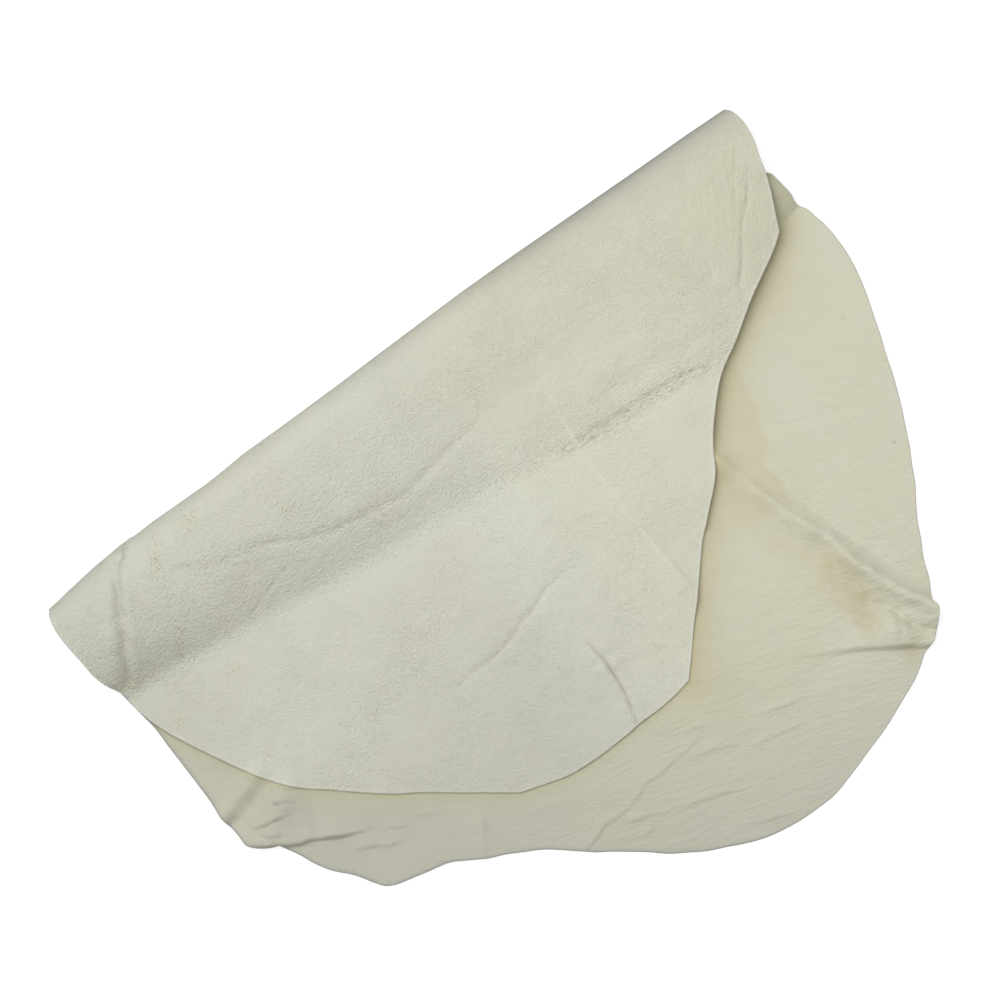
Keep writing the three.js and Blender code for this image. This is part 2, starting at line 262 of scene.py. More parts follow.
# Heights of the broad swells, and the depths beyond the roll over which they and the leaf's folds start
LEAF_SWELL, LEAF_SWELL_START = 0.9, 40
FLAP_SWELL, FLAP_SWELL_START = 0.4, 30
LEAF_FOLD_START = 25
# How firmly the table keeps the leaf up, and how softly the flap comes to rest on the leaf
TABLE_FIRMNESS = 3
REST_SOFTNESS = 0.4

# Fineness of the mesh and of lines drawn on the skin, in millimetres
COARSE = 2.4
FINE = 1.2
FINE_REACH = 9
EDGE_STEP = 1.6
EDGE_ROUND = 0.5
EDGE_APART = 0.3
EDGE_CLEAR = 0.7 * EDGE_STEP
SEAM_CLEAR = 0.6 * EDGE_STEP
SEAM_SPARE = 5
MERGE = 1e-4
SLIVER = 1e-5
LINE_STEP = 3.0
LOOSE_STEP = 4.0


def table_value(table, x):
    """Value of a table of (place, value) rows at each x."""
    return np.interp(x, [row[0] for row in table], [row[1] for row in table])


def smooth_table(table, x):
    """The same, through a soft curve in place of straight stretches."""
    reach = 12.0
    samples = 9
    offsets = np.linspace(-1, 1, samples)
    return np.mean([table_value(table, x + reach * offset) for offset in offsets], axis=0)


def smoothstep(t):
    t = np.clip(t, 0, 1)
    return t * t * (3 - 2 * t)


def rise(value, start, run):
    """0 up to the start, then softly up to 1 over a run."""
    return smoothstep((value - start) / run)


def fall(value, end, run):
    """1 up to a run before the end, then softly down to 0."""
    return smoothstep((end - value) / run)


def bell(away, width):
    return np.exp(-(away / width) ** 2)


def noise(u, v, seed):
    """Smooth noise from -1 to 1 on a lattice of unit cells."""
    size = 64
    lattice = np.random.default_rng(seed).uniform(-1, 1, (size, size))
    i = np.floor(u).astype(int)
    j = np.floor(v).astype(int)
    f = u - i
    g = v - j
    f = f * f * f * (f * (6 * f - 15) + 10)
    g = g * g * g * (g * (6 * g - 15) + 10)

    def at(a, b):
        return lattice[a % size, b % size]
    near = at(i, j) * (1 - f) + at(i + 1, j) * f
    far = at(i, j + 1) * (1 - f) + at(i + 1, j + 1) * f
    return near * (1 - g) + far * g


def smooth_line(points, step):
    """Points about one step apart on a smooth curve through the points given."""
    p = np.array(points, float)
    if len(p) == 2:
        count = max(2, int(np.linalg.norm(p[1] - p[0]) / step) + 1)
        return np.linspace(p[0], p[1], count)
    p = np.vstack([2 * p[0] - p[1], p, 2 * p[-1] - p[-2]])
    tiny = 1e-6
    out = []
    for a, b, c, d in zip(p[:-3], p[1:-2], p[2:-1], p[3:]):
        t1 = math.sqrt(np.linalg.norm(b - a)) or tiny
        t2 = t1 + (math.sqrt(np.linalg.norm(c - b)) or tiny)
        t3 = t2 + (math.sqrt(np.linalg.norm(d - c)) or tiny)
        count = max(1, int(round(np.linalg.norm(c - b) / step)))
        t = np.linspace(t1, t2, count, endpoint=False)[:, None]

        def between(p, q, start, end):
            return p * (end - t) / (end - start) + q * (t - start) / (end - start)
        bc = between(b, c, t1, t2)
        abc = between(between(a, b, 0, t1), bc, 0, t2)
        bcd = between(bc, between(c, d, t2, t3), t1, t3)
        out.append(between(abc, bcd, t1, t2))
    out.append(p[-2][None])
    return np.vstack(out)


def line_distance(x, d, line):
    """Distance from a line, positive on one side of it, and the share of its length at the nearest place."""
    steps = np.linalg.norm(np.diff(line, axis=0), axis=1)
    starts = np.concatenate([[0], np.cumsum(steps)])
    best = np.full(x.shape, np.inf)
    side = np.zeros(x.shape)
    along = np.zeros(x.shape)
    for (ax, ad), (bx, bd), start, length in zip(line[:-1], line[1:], starts, steps):
        ux = bx - ax
        ud = bd - ad
        t = np.clip(((x - ax) * ux + (d - ad) * ud) / (length * length), 0, 1)
        px = x - ax - t * ux
        pd = d - ad - t * ud
        r = np.hypot(px, pd)
        nearer = r < best
        best = np.where(nearer, r, best)
        side = np.where(nearer, ux * pd - ud * px, side)
        along = np.where(nearer, start + t * length, along)
    return np.copysign(best, side), along / starts[-1]


def section_height(away, section):
    """Height of a fold's section at distances from its line."""
    z = np.zeros(away.shape)
    for kind, offset, height, width in section:
        off = away - offset
        if kind == "round":
            z += height * bell(off, width)
        elif kind in STEP_RUN:
            z += height * np.exp(-np.maximum(off, 0) / width) * smoothstep(off / STEP_RUN[kind] + 0.5)
        elif kind == "slope":
            z += height * (1 - np.exp(-np.maximum(off, 0) / width))
        else:
            z += height * np.exp(-(np.hypot(off, SHARP_TIP) - SHARP_TIP) / width)
    return z


def section_reach(section):
    return max(abs(offset) + (SOFT_REACH if kind in ("round", "slope") else STEEP_REACH) * width
               for kind, offset, height, width in section)


def faded(along, fade_in, fade_out):
    """1 along a line, falling to 0 over the shares given at its ends."""
    fade = np.ones(along.shape)
    if fade_in:
        fade *= smoothstep(along / fade_in)
    if fade_out:
        fade *= smoothstep((1 - along) / fade_out)
    return fade


def relief(x, d, folds):
    """Sum of the folds' heights."""
    z = np.zeros(x.shape)
    for index, (points, section, fades) in enumerate(folds):
        line = smooth_line(points, LINE_STEP)
        reach = section_reach(section)
        low = line.min(0) - reach
        high = line.max(0) + reach
        near = (x > low[0]) & (x < high[0]) & (d > low[1]) & (d < high[1])
        if not near.any():
            continue
        away, along = line_distance(x[near], d[near], line)
        away = away + WAVER * noise(x[near] / WAVER_CELL, d[near] / WAVER_CELL, seed=300 + index)
        uneven = noise(along * UNEVEN_CELLS, along * 0 + index, seed=400 + index)
        z[near] += faded(along, *fades) * (1 + UNEVEN * uneven) * section_height(away, section)
    return z


def leaf_height(x, d):
    """Height of the middle of the lower leaf's thickness, kept from sinking into the table."""
    swell = np.maximum(0, noise(x / 70, d / 55, seed=1) + 0.5 * noise(x / 31, d / 26, seed=2))
    z = LEAF_SWELL * swell * rise(d, ROLL, LEAF_SWELL_START)
    z = z + relief(x, d, LEAF_FOLDS) * rise(d, ROLL, LEAF_FOLD_START)
    kept_up = np.log1p(np.exp(TABLE_FIRMNESS * z)) / TABLE_FIRMNESS
    return LEATHER / 2 + kept_up - math.log(2) / TABLE_FIRMNESS * np.exp(-np.abs(z))


def soft_max(a, b, width):
    """The larger of two heights, rounded where they meet."""
    return np.maximum(a, b) + width * np.log1p(np.exp(-np.abs(a - b) / width))


def flap_height(x, d):
    """Height of the middle of the flap's thickness: the dome, its crease and the outer panel."""
    crease = smooth_table(CREASE, x)
    settled = smoothstep((d - crease) / smooth_table(SETTLE, x))
    level = 1.5 * LEATHER + REST_GAP + smooth_table(CREASE_RISE, x) * (1 - settled)
    past = np.maximum(d - crease, 0)
    level += table_value(SWELL, x) * (1 - np.exp(-past / SWELL_START)) * bell(past, SWELL_REACH)
    top = 2 * ROLL * smooth_table(ROLL_PLUMP, x) - LEATHER / 2
    inner = (crease - d) / CREASE_ROUND
    inner = CREASE_ROUND * (np.maximum(inner, 0) + np.log1p(np.exp(-np.abs(inner))))
    share = np.clip(inner / (crease - ROLL), 0, 1)
    z = level + (top - level) * (1 - (1 - share) ** table_value(DOME_STEEPNESS, x))
    z += FLAP_SWELL * noise(x / 45, d / 40, seed=11) * rise(d, ROLL, FLAP_SWELL_START)
    z += relief(x, d, FLAP_FOLDS)
    return soft_max(z, leaf_height(x, d) + LEATHER + REST_GAP, REST_SOFTNESS)


def depth_of(h):
    """Depth from the fold of places on the flat skin, beyond the roll."""
    return np.abs(h) - HALF_ROLL + ROLL


def turn_of(h):
    """Angle round the roll, from straight down to straight up."""
    return np.clip(h / ROLL, -math.pi / 2, math.pi / 2)


def surface(x, h):
    """Middle of the leather's thickness, in the part's millimetres, at places on the flat skin."""
    d = depth_of(h)
    angle = turn_of(h)
    leaf = h < -HALF_ROLL
    flap = h > HALF_ROLL
    upper = (h > 0) & ~flap
    bow = table_value(ROLL_BOW, x) * np.cos(angle) ** 2
    radius = np.full(x.shape, ROLL - LEATHER / 2)
    radius[upper] += relief(x[upper], (ROLL - ROLL * np.cos(angle) - bow)[upper], FLAP_FOLDS)
    plump = 1 + (smooth_table(ROLL_PLUMP, x) - 1) * smoothstep((angle + math.pi / 2) / math.pi)
    y = np.where(leaf | flap, -d, radius * np.cos(angle) - ROLL + bow)
    z = (ROLL + radius * np.sin(angle)) * plump
    z[leaf] = leaf_height(x[leaf], d[leaf])
    z[flap] = flap_height(x[flap], d[flap])
    return np.stack([x + LEFT_END, y + FOLD_FRONT, z], -1)


def on_skin(points, side):
    """Places on the flat skin of places on the folded one, given along the fold and in depth from it."""
    p = np.array(points, float)
    turned = ROLL * np.arccos(np.clip(1 - p[:, 1] / ROLL, 0, 1))
    h = np.where(p[:, 1] > ROLL, p[:, 1] - ROLL + HALF_ROLL, turned)
    return np.stack([p[:, 0], side * h], -1)


def outline():
    """Closed line of the skin's edge on the flat skin."""
    runs = [(run, 1) for run in FLAP_EDGE] + [(run, -1) for run in LEAF_EDGE]
    edge = np.vstack([smooth_line(on_skin(run, side), EDGE_STEP)[:-1] for run, side in runs])
    keep = np.linalg.norm(edge - np.roll(edge, 1, axis=0), axis=1) > EDGE_APART
    return edge[keep]


def hex_grid(low, high, step):
    rows = np.arange(low[1], high[1], step * math.sqrt(3) / 2)
    columns = np.arange(low[0], high[0], step)
    x, y = np.meshgrid(columns, rows)
    x = x + (np.arange(len(rows)) % 2 * step / 2)[:, None]
    return np.stack([x.ravel(), y.ravel()], -1)


def edge_distance(edge, places):
    """Distance from each place on the flat skin to the nearest point of its edge."""
    tree = KDTree(len(edge))
    for i, place in enumerate(edge):
        tree.insert((place[0], place[1], 0), i)
    tree.balance()
    return np.array([tree.find((a, b, 0))[2] for a, b in places])


# Seams that divide the skin into pieces, each as a place on the flat skin at each place along the fold
def crease_line(name):
    """Depth of a crease's hinge at places along the fold."""
    place = joints[name]["pos_m"]
    axis = joints[name]["axis"]
    slope = axis[1] / axis[0]
    return lambda x: FOLD_FRONT - (place[1] + slope * ((x + LEFT_END) * MM - place[0])) / MM


def along_roll(h):
    return lambda x: np.full(np.shape(x), h)


flap_hinge = crease_line("flap_crease")
margin_hinge = crease_line("margin_crease")
# How far the outer seams lie from their hinges, and how far below the roll's front the seam there turns
MARGIN_SEAM = 45
FLAP_SEAM = 30
FRONT_SEAM = math.radians(2)
SEAMS = [
    lambda x: -(margin_hinge(x) - MARGIN_SEAM - ROLL + HALF_ROLL),
    along_roll(-HALF_ROLL),
    along_roll(-FRONT_SEAM * ROLL),
    along_roll(HALF_ROLL / 2),
    along_roll(HALF_ROLL),
    lambda x: flap_hinge(x) - FLAP_SEAM - ROLL + HALF_ROLL,
]


def cross(a, b):
    return a[:, 0] * b[:, 1] - a[:, 1] * b[:, 0]


def near_folds(places):
    """Whether each place on the flat skin is near a fold or the long crease."""
    near = np.zeros(len(places), bool)
    x = places[:, 0]
    depth = depth_of(places[:, 1])
    crease = (CREASE, [("round", 0, 1, 4)], (0, 0))
    for folds, side in ((LEAF_FOLDS, -1), (FLAP_FOLDS + [crease], 1)):
        on_side = places[:, 1] * side > 0
        for points, section, _ in folds:
            line = smooth_line(points, LOOSE_STEP)
            reach = min(section_reach(section), FINE_REACH)
            box = on_side & (x > line[:, 0].min() - reach) & (x < line[:, 0].max() + reach)
            box &= (depth > line[:, 1].min() - reach) & (depth < line[:, 1].max() + reach)
            away, _ = line_distance(x[box], depth[box], line)
            near[np.flatnonzero(box)[np.abs(away) < reach]] = True
    return near


def lay_out(edge):
    """Triangles of the flat skin: their corners' places, the triangles and the piece that each is in."""
    low, high = edge.min(0), edge.max(0)
    fine = hex_grid(low, high, FINE)
    fine = fine[near_folds(fine)]
    coarse = hex_grid(low, high, COARSE)
    taken = {(int(a), int(b)) for a, b in np.floor(fine / COARSE)}
    coarse = coarse[[(int(a), int(b)) not in taken for a, b in np.floor(coarse / COARSE)]]
    grid = np.vstack([fine, coarse])
    grid = grid[edge_distance(edge, grid) > EDGE_CLEAR]
    points = [edge]
    edges = []
    count = len(edge)
    for seam in SEAMS:
        along = np.arange(low[0] - SEAM_SPARE, high[0] + SEAM_SPARE, EDGE_STEP)
        points.append(np.stack([along, seam(along)], -1))
        edges += [(count + i, count + i + 1) for i in range(len(along) - 1)]
        count += len(along)
        grid = grid[np.abs(grid[:, 1] - seam(grid[:, 0])) > SEAM_CLEAR]
    places = [Vector(place) for place in np.vstack(points + [grid])]
    inside = 1
    result = delaunay_2d_cdt(places, edges, [list(range(len(edge)))], inside, MERGE)
    flat = np.array([tuple(place) for place in result[0]])
    triangles = np.array(result[2])
    a, b, c = (flat[triangles[:, k]] for k in range(3))
    area = cross(b - a, c - a)
    triangles = np.where(area[:, None] < 0, triangles, triangles[:, ::-1])[np.abs(area) > SLIVER]
    middle = flat[triangles].mean(1)
    piece = sum((middle[:, 1] > seam(middle[:, 0])).astype(int) for seam in SEAMS)
    used, triangles = np.unique(triangles, return_inverse=True)
    return flat[used], triangles.reshape(-1, 3), piece


def corner_normals(points, triangles):
    a, b, c = (points[triangles[:, k]] for k in range(3))
    face = np.cross(b - a, c - a)
    total = np.zeros_like(points)
    for k in range(3):
        np.add.at(total, triangles[:, k], face)
    return total / np.maximum(np.linalg.norm(total, axis=1), 1e-12)[:, None]


free_edge = outline()
flat, triangles, piece_of = lay_out(free_edge)
middle = surface(flat[:, 0], flat[:, 1])
normal = corner_normals(middle, triangles)
grain_side = middle + normal * (LEATHER / 2)
flesh_side = middle - normal * (LEATHER / 2)
grain_normal = corner_normals(grain_side, triangles)
flesh_normal = -corner_normals(flesh_side, triangles)


# Marks on the skin: where it is pebbled, crushed, stained, worn pale or freckled, and where shade and
# highlights are painted on it
def near_line(x, d, points, width):
    away, _ = line_distance(x, d, smooth_line(points, LOOSE_STEP))
    return bell(away, width)


def near_spots(x, d, spots):
    """Sum of soft spots, each with its place, its reach along and across the fold, and its strength."""
    return sum(strength * np.exp(-((x - sx) / rx) ** 2 - ((d - sd) / rd) ** 2)
               for sx, sd, rx, rd, strength in spots)


PEBBLED_PATCH = [(175, 148), (125, 166), (80, 186)]
# Creases darkened with painted shade: the line, its half width, its strength and its fades
CREASE_SHADES = [
    (TIP_VALLEY[2:], 1.5, 0.35, (0.2, 0)),
    (CORNER_CREASE, 0.9, 1.0, (0.4, 0)),
    (BRANCHED, 1.0, 0.35, (0.3, 0.3)),
    (SOFT_FOLD, 0.8, 0.3, (0.2, 0.4)),
    ([(300, 103.4)] + RIGHT_ARM[1:], 0.9, 0.5, (0.2, 0.2)),
    (END_CREASE, 0.8, 0.6, (0.2, 0.2)),
    (END_LINE, 0.8, 0.4, (0.3, 0.3)),
    (SLOPE_LINE, 0.8, 0.5, (0.3, 0.3)),
]
# Strength of the shade painted along the front of the roll, and of the crushed grain along the long crease
ROLL_FRONT_SHADE = [(0, 0.1), (180, 0.12), (220, 0.25), (300, 0.35), (420, 1), (490, 1.25)]
CRUSH = [(0, 0.5), (100, 0.45), (230, 0.5), (290, 0.6), (318, 1.3), (385, 1.2), (413, 0.8), (506, 0.5)]
DARK_DOTS = [(485.4, 140.6, 1, 1, 1), (466.5, 218.9, 0.9, 0.9, 1)]
CROSS_FOOT = [(401, 205), (408, 236.3), (419, 262), (432, 292)]
CROSS_FLANK = [(368, 172), (375, 200), (381, 225), (385, 250), (391, 275)]
LOW_EDGE = FLAP_EDGE[3][::-1] + FLAP_EDGE[2][::-1]
STAIN_BORDER = [
    (428, 112), (419, 130), (413.9, 145.3), (412, 154.9), (407.3, 165.2), (404, 173.2), (397.4, 183),
    (397, 189.1), (399.1, 194.8), (397.1, 201.7), (398, 212), (400.8, 226.5), (402.6, 238.3), (404, 252)]
FOLD_STAIN = [(395.5, 232), (393.5, 262), (395, 271), (395.5, 284), (391, 294)]
LEAF_SPOTS = [(401, 324, 11, 8, 0.7), (392, 288, 7, 9, 0.45), (352, 298, 14, 5, 0.2)]
FRECKLES = [
    (80, 5, 3.5, 3.5, 0.8), (76, 10, 3.5, 3.5, 1), (72.7, 14.6, 3.5, 3.5, 1), (69.5, 19, 3.5, 3.5, 0.9),
    (67, 23, 3, 3, 0.6), (106, 7.5, 7, 5, 0.6), (97, 9, 6, 4, 0.5), (153.9, 35.6, 7, 7, 0.5),
    (59, 57, 3, 3, 0.8), (55, 62, 3, 3, 1), (51, 68, 3, 3, 0.9), (15, 65, 7, 4, 1), (120, 48, 16, 8, 0.35),
    (123.9, 164, 4, 4, 0.8), (54.6, 146.8, 5, 5, 0.5), (27.6, 99.5, 6, 6, 0.5), (70, 95, 5, 5, 0.6)]
RIM_WIDTH = 0.9


def crease_shade_marks(x, seen):
    """Shade painted into the creases, broken up along them."""
    crease_shade = np.zeros(x.shape)
    broken = 0.75 + 0.5 * noise(x / 5, seen / 5, seed=51)
    for points, width, strength, fades in CREASE_SHADES:
        away, along = line_distance(x, seen, smooth_line(points, LINE_STEP))
        fade_in, fade_out = (max(share, 0.01) for share in fades)
        fade = rise(along, 0, fade_in) * fall(along, 1, fade_out)
        crease_shade = np.maximum(crease_shade, strength * fade * broken * bell(away, width))
    return crease_shade


def flap_marks(x, d, seen, at_rim):
    """Strength of each kind of mark on the flap and the upper half of the roll."""
    beyond = seen - smooth_table(CREASE, x)
    dome = rise(seen, 8, 22) * (1 - rise(x, 220, 90))
    band = bell(np.minimum(beyond, 0), 24)
    pebble = 0.34 + 0.66 * np.maximum(dome, 0.8 * band) * (1 - rise(beyond, 1, 9))
    pebble = np.maximum(pebble, 0.9 * near_line(x, seen, PEBBLED_PATCH, 22) * (beyond > 0))
    crush = table_value(CRUSH, x) * bell(beyond - 2.5, 6.5)
    crush = np.maximum(crush, 0.7 * near_line(x, seen, BRANCHED, 4.5))
    crush = np.maximum(crush, 0.35 * near_line(x, seen, SOFT_FOLD, 4))
    pale = 0.6 * near_line(x, seen, OLD_FOLD_LOWER, 1.1) * (0.6 + 0.5 * noise(x / 9, seen / 9, seed=45))
    pale += 0.8 * near_line(x, seen, OLD_FOLD_UPPER, 1.1) * rise(seen, 60, 40)
    pale += 0.5 * rise(x, 200, 70) * fall(x, 430, 50) * rise(seen, 45, 30)
    edge_away, _ = line_distance(x, d, smooth_line(FLAP_EDGE[1], LOOSE_STEP))
    return {
        # Rim: painted highlight along the flap's edges, strongest along its right edge
        "rim": at_rim * (0.5 + 0.5 * bell(edge_away, 6)),
        "veined": rise(x, 425, 45) * (0.5 + 0.5 * rise(seen, 0, 20)),
        "warm": rise(x, 215, 130),
        # Painted shade: the flap and roll darker towards the left end and over the outer panel's lower part,
        # as the light falls off
        "falloff_shade": np.maximum(0.5 * fall(x, 90, 90), rise(seen, 130, 110) * fall(x, 330, 140)),
        "pebble": pebble,
        "crush": crush,
        # Painted shade along the front of the roll, darker towards its right end
        "roll_front_shade": table_value(ROLL_FRONT_SHADE, x) * np.exp(-np.maximum(seen + 3, 0) / 8),
        "pale": pale,
        "freckle": near_spots(x, seen, FRECKLES),
        "crease_shade": crease_shade_marks(x, seen),
    }


def leaf_marks(x, d, at_rim):
    """Strength of each kind of mark on the lower leaf and the lower half of the roll."""
    side, along = line_distance(x, d, smooth_line(STAIN_BORDER, LINE_STEP))
    side = side + 1.6 * noise(x / 9, d / 9, seed=41) + 0.7 * noise(x / 3, d / 3, seed=42)
    stain = rise(side, -1.2, 2.4) * np.exp(-np.maximum(side, 0) / 26) * fall(along, 1, 0.35)
    # Painted shade on the cross fold's lower left flank, in the colour of a stain, joined to the real stain
    flank_shade_and_stain = 1.4 * near_line(x, d, CROSS_FLANK, 15) * (0.8 + 0.4 * noise(x / 12, d / 12, seed=46))
    brown = near_line(x, d, FOLD_STAIN, 9) + near_spots(x, d, LEAF_SPOTS)
    brown = brown * rise(d, 225, 45) * (0.75 + 0.5 * noise(x / 7, d / 7, seed=43))
    edge_away, _ = line_distance(x, d, smooth_line(FLAP_EDGE[1], LOOSE_STEP))
    low_away, _ = line_distance(x, d, smooth_line(LOW_EDGE, LOOSE_STEP))
    # Painted shadow beside the flap's edges, in the yellow-brown of the leaf's fuzzy stain there: wide along
    # the right edge, thin under the lower edge
    edge_shade_and_fuzz = np.maximum(np.exp(-np.abs(edge_away) / 14), 0.9 * np.exp(-np.abs(low_away) / 4))
    # Painted shade: the leaf darker the farther it lies from its upper right, as the light falls off, a
    # little less at its far left
    falloff_shade = rise(np.hypot(x - 430, d - 130), 120, 230) * (1 - 0.2 * fall(x, 45, 30))
    lined = 0.5 * smoothstep((x - 395 + 0.2 * (d - 200)) / 25) * rise(d, 120, 60)
    lined = np.maximum(lined, near_line(x, d, CROSS_FOOT, 16))
    lined = np.maximum(lined, 0.3 * rise(d, 262, 30))
    # Corner: painted shade on the leaf's right end, beside the flap's tip
    corner = smoothstep((78 - d + 0.2 * (490 - x)) / 8) * rise(x, 455, 20)
    # Share of the leaf's edge painted as lit, rising towards its right part; the rest of its edge is painted
    # as in shade
    lit_edge_share = rise(x, 250, 80)
    return {
        # Rim: painted highlight on the cut edge of the leaf's right part
        "rim": at_rim * (0.8 * lit_edge_share),
        # Painted shade along the leaf's lower left edge, together with two real dark dots
        "edge_shade_and_dots": np.maximum(at_rim * (1 - lit_edge_share), 1.2 * near_spots(x, d, DARK_DOTS)),
        "lined": 0.12 + 0.88 * lined,
        "streaked": 0.1 + 0.9 * rise(d, 225, 50) * rise(x, 110, 90),
        "brown": np.clip(brown, 0, 1),
        "falloff_shade": np.maximum(falloff_shade, 0.8 * corner),
        "pebble": np.full(x.shape, 0.14),
        "stain": np.clip(np.maximum(stain, flank_shade_and_stain), 0, 1),
        "edge_shade_and_fuzz": np.maximum(edge_shade_and_fuzz, 0.5 * corner),
    }


def marks(x, h):
    """Strength of each kind of mark at places on the flat skin."""
    d = depth_of(h)
    angle = turn_of(h)
    on_roll = ROLL - ROLL * np.cos(angle) - table_value(ROLL_BOW, x) * np.cos(angle) ** 2
    seen = np.where(np.abs(h) < HALF_ROLL, on_roll, d)
    at_rim = bell(edge_distance(free_edge, zip(x, h)), RIM_WIDTH)
    flap = flap_marks(x, d, seen, at_rim)
    leaf = leaf_marks(x, d, at_rim)
    return {name: np.where(h > 0, flap.get(name, 0), leaf.get(name, 0)) for name in {**flap, **leaf}}


MARKS = marks(flat[:, 0], flat[:, 1])


# Materials
class Nodes:
    """Short ways to add and join the shader nodes of a material or a world."""

    def __init__(self, owner, shader="Principled BSDF"):
        owner.use_nodes = True
        self.owner = owner
        self.tree = owner.node_tree
        self.shader = self.tree.nodes[shader]

    def add(self, kind, inputs=None, **settings):
        node = self.tree.nodes.new("ShaderNode" + kind)
        for key, value in settings.items():
            setattr(node, key, value)
        for key, value in (inputs or {}).items():
            self.put(node.inputs[key], value)
        return node

    def put(self, socket, value):
        if isinstance(value, bpy.types.NodeSocket):
            self.tree.links.new(value, socket)
        else:
            socket.default_value = value

    def finish(self, **inputs):
        """Give the shader its inputs, named with underscores for spaces."""
        for name, value in inputs.items():
            self.put(self.shader.inputs[name.replace("_", " ")], value)
        return self.owner

    def math(self, operation, a, b=0.0, clamp=False):
        node = self.add("Math", operation=operation, use_clamp=clamp)
        self.put(node.inputs[0], a)
        self.put(node.inputs[1], b)
        return node.outputs[0]

    def times(self, a, b, clamp=False):
        return self.math("MULTIPLY", a, b, clamp)

    def mix(self, factor, a, b, blend="MIX"):
        node = self.add("Mix", data_type="RGBA", blend_type=blend)
        self.put(node.inputs["Factor"], factor)
        self.put(node.inputs[6], a)
        self.put(node.inputs[7], b)
        return node.outputs[2]

    def steps(self, value, low, high, to_low=0.0, to_high=1.0):
        node = self.add("MapRange", {"Value": value, "From Min": low, "From Max": high, "To Min": to_low,
                                     "To Max": to_high}, interpolation_type="SMOOTHSTEP")
        return node.outputs[0]

    def noise(self, vector, scale, detail=2.0, rough=0.5):
        node = self.add("TexNoise", {"Vector": vector, "Scale": scale, "Detail": detail, "Roughness": rough})
        return node.outputs["Fac"]

    def creases(self, value):
        """Zero along the winding lines where a noise passes its middle value."""
        return self.math("ABSOLUTE", self.math("SUBTRACT", value, 0.5))

    def skin(self):
        """Places on the flat skin, in metres."""
        return self.add("UVMap", uv_map="skin").outputs[0]

    def stretched(self, vector, turn, length):
        """The same place, with patterns drawn out along a direction."""
        node = self.add("Mapping", {"Vector": vector, "Rotation": (0, 0, turn), "Scale": (length, 1, 1)},
                        vector_type="TEXTURE")
        return node.outputs[0]

    def mark(self, name):
        return self.add("Attribute", attribute_name=name).outputs["Fac"]

    def marked(self, color, mark, strength, by):
        """A colour that turns to another where the skin has a mark."""
        return self.mix(self.times(self.mark(mark), strength, clamp=True), color, by)

    def wander(self, vector, scale, reach):
        """The same place, shifted a little at random."""
        shift = self.add("TexNoise", {"Vector": vector, "Scale": scale, "Detail": 2.0})
        middle = self.add("VectorMath", {0: shift.outputs["Color"], 1: (0.5, 0.5, 0.5)}, operation="SUBTRACT")
        scaled = self.add("VectorMath", {0: middle.outputs[0], "Scale": reach}, operation="SCALE")
        return self.add("VectorMath", {0: vector, 1: scaled.outputs[0]}, operation="ADD").outputs[0]

    def dots(self, vector, scale, share, radius):
        """Small round dots in a share of the cells of a scatter."""
        cells = self.add("TexVoronoi", {"Vector": vector, "Scale": scale})
        chosen = self.add("SeparateColor", {"Color": cells.outputs["Color"]}).outputs[0]
        inside = self.steps(cells.outputs["Distance"], radius * 1.5, radius * 0.5)
        return self.times(inside, self.math("LESS_THAN", chosen, share))

    def bump(self, height, distance, strength, below=None):
        node = self.add("Bump", {"Strength": strength, "Distance": distance, "Height": height})
        if below is not None:
            self.put(node.inputs["Normal"], below)
        return node.outputs[0]

    def looked_at(self):
        """1 for what the camera sees, also by reflection or through a clear body, and 0 for light."""
        path = self.add("LightPath").outputs
        bent = self.math("MAXIMUM", path["Is Glossy Ray"], path["Is Transmission Ray"])
        return self.math("MAXIMUM", path["Is Camera Ray"], bent)


def tints(color):
    """Function that scales a colour's red, green and blue."""
    return lambda *by: tuple(c * b for c, b in zip(color, by)) + (1,)


# Colours of the leather, of what has settled on it, and of the shade and highlights painted on it
GRAIN_CREAM = (0.706, 0.709, 0.612, 1)
FLESH_CREAM = (0.682, 0.673, 0.553, 1)
WARM_CAST = (1.0, 0.982, 0.918, 1)
FALLOFF_SHADE_CAST = (0.905, 0.905, 0.9, 1)
PORE = (0.34, 0.30, 0.2, 1)
DIRT_AND_CREASE_SHADE = (0.3, 0.28, 0.2, 1)
ROLL_FRONT_SHADE_GREY = (0.3, 0.3, 0.28, 1)
FRECKLE_CAST = (0.52, 0.5, 0.33, 1)
FRECKLE = (0.36, 0.335, 0.15, 1)
WRINKLE = (0.45, 0.42, 0.31, 1)
VEIN = (0.5, 0.46, 0.33, 1)
EDGE_SHADE_AND_FUZZ = (0.53, 0.48, 0.28, 1)
EDGE_SHADE_AND_DOT_GREY = (0.32, 0.33, 0.32, 1)
STAIN_AND_FLANK_SHADE = (0.57, 0.51, 0.31, 1)
BROWN = (0.50, 0.43, 0.235, 1)
LIT_FIBRES = ((0.64, 0.62, 0.52, 1), (0.72, 0.71, 0.62, 1))
SHADED_FIBRES = ((0.3, 0.3, 0.26, 1), (0.42, 0.41, 0.36, 1))


